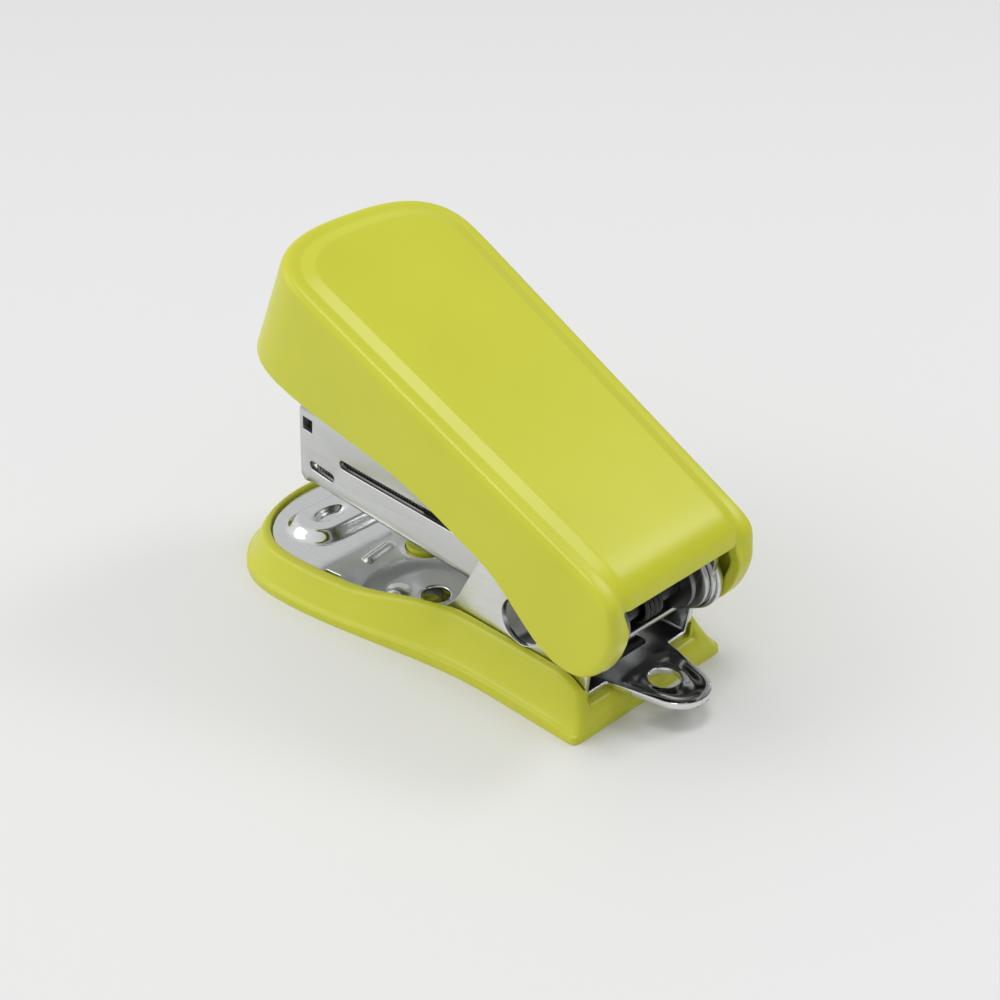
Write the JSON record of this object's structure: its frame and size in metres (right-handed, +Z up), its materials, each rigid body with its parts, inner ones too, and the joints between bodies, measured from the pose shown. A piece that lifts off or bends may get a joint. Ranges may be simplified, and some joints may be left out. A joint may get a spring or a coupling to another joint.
{
  "type": "stapler",
  "caption": "Pocket stapler: lime plastic base and handle cover over a chromed steel frame, a sprung magazine on the same hinge, and a rear tongue with a hole.",
  "frame": {"origin": "centre of the base's length and width, on the surface it stands on", "axes": "+X towards the hinge and rear tongue, +Z up, Y across; the mouth faces -X"},
  "size_m": [0.0669, 0.034, 0.0436],
  "materials": {
    "base_plastic": "satin moulded plastic",
    "cover_plastic": "satin moulded plastic",
    "frame_chrome": "chromed sheet steel",
    "magazine_chrome": "chromed sheet steel, slightly brushed",
    "arm_chrome": "chromed sheet steel",
    "rail_steel": "zinc-plated sheet steel",
    "inner_steel": "zinc-plated steel",
    "pin_steel": "oiled steel",
    "spring_steel": "oiled spring steel",
    "rivet_steel": "plain steel",
    "blade_steel": "hardened steel",
    "staple_wire": "galvanised wire, glued",
    "pusher_plastic": "black moulded plastic"
  },
  "bodies": {
    "base": {"base_shell": "base_plastic", "base_frame": "frame_chrome", "lift_spring": "spring_steel", "lift_spring_rivet": "rivet_steel", "hinge_pin": "pin_steel"},
    "magazine": {"magazine": "magazine_chrome", "staple_rail": "rail_steel", "staple_strip": "staple_wire", "guide_rod": "inner_steel", "rod_bracket": "inner_steel", "bracket_rivet": "rivet_steel", "rod_clip": "inner_steel", "hinge_spacers": "inner_steel", "pusher_spring": "spring_steel", "hinge_spring": "spring_steel"},
    "pusher": {"pusher": "pusher_plastic"},
    "handle": {"handle_cover": "cover_plastic", "handle_frame": "arm_chrome", "driver_blade": "blade_steel", "blade_rivets": "rivet_steel"}
  },
  "joints": [
    {"name": "magazine_hinge", "type": "hinge", "parent": "base", "child": "magazine", "pos_m": [0.02735, 0, 0.012], "axis": [0, 1, 0], "range_deg": [-6.3, 0], "stiffness_Nm_per_rad": 0.3, "springref_deg": 11.46, "deforming": ["lift_spring"]},
    {"name": "handle_hinge", "type": "hinge", "parent": "magazine", "child": "handle", "pos_m": [0.02735, 0, 0.012], "axis": [0, 1, 0], "range_deg": [-11.7, 60], "stiffness_Nm_per_rad": 0.5, "springref_deg": 0.57, "deforming": ["hinge_spring"]},
    {"name": "pusher_slide", "type": "slide", "parent": "magazine", "child": "pusher", "axis": [0.9986, 0, -0.0523], "range_m": [0, 0.01], "stiffness_N_per_m": 60, "springref_m": -0.01, "deforming": ["pusher_spring"]}
  ]
}
